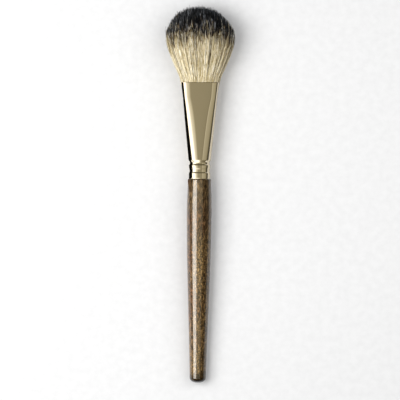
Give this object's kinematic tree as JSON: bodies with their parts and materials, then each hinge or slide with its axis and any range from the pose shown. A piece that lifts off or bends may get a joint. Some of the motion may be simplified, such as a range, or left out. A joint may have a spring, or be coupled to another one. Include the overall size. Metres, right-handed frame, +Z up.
{
  "type": "makeup brush",
  "caption": "Round-handled powder brush with a crimped metal ferrule pressed to a wide oval mouth and a domed tuft of pale hair with dark tips.",
  "frame": {"origin": "centre of the part's length and width, on the surface that the brush lies on", "axes": "+Y along the brush from the butt of the handle to the tip of the hair, +Z up from the surface and through the wide flat face of the hair, +X across the wide face"},
  "size_m": [0.0316, 0.1802, 0.0189],
  "materials": {
    "lacquered_wood": "gloss",
    "gold_metal": "polished",
    "set_glue": "matte",
    "brush_hair": "satin"
  },
  "bodies": {
    "root": {"handle": "lacquered_wood", "ferrule": "gold_metal", "glue_plug": "set_glue", "hair_tuft": "brush_hair"}
  },
  "joints": []
}
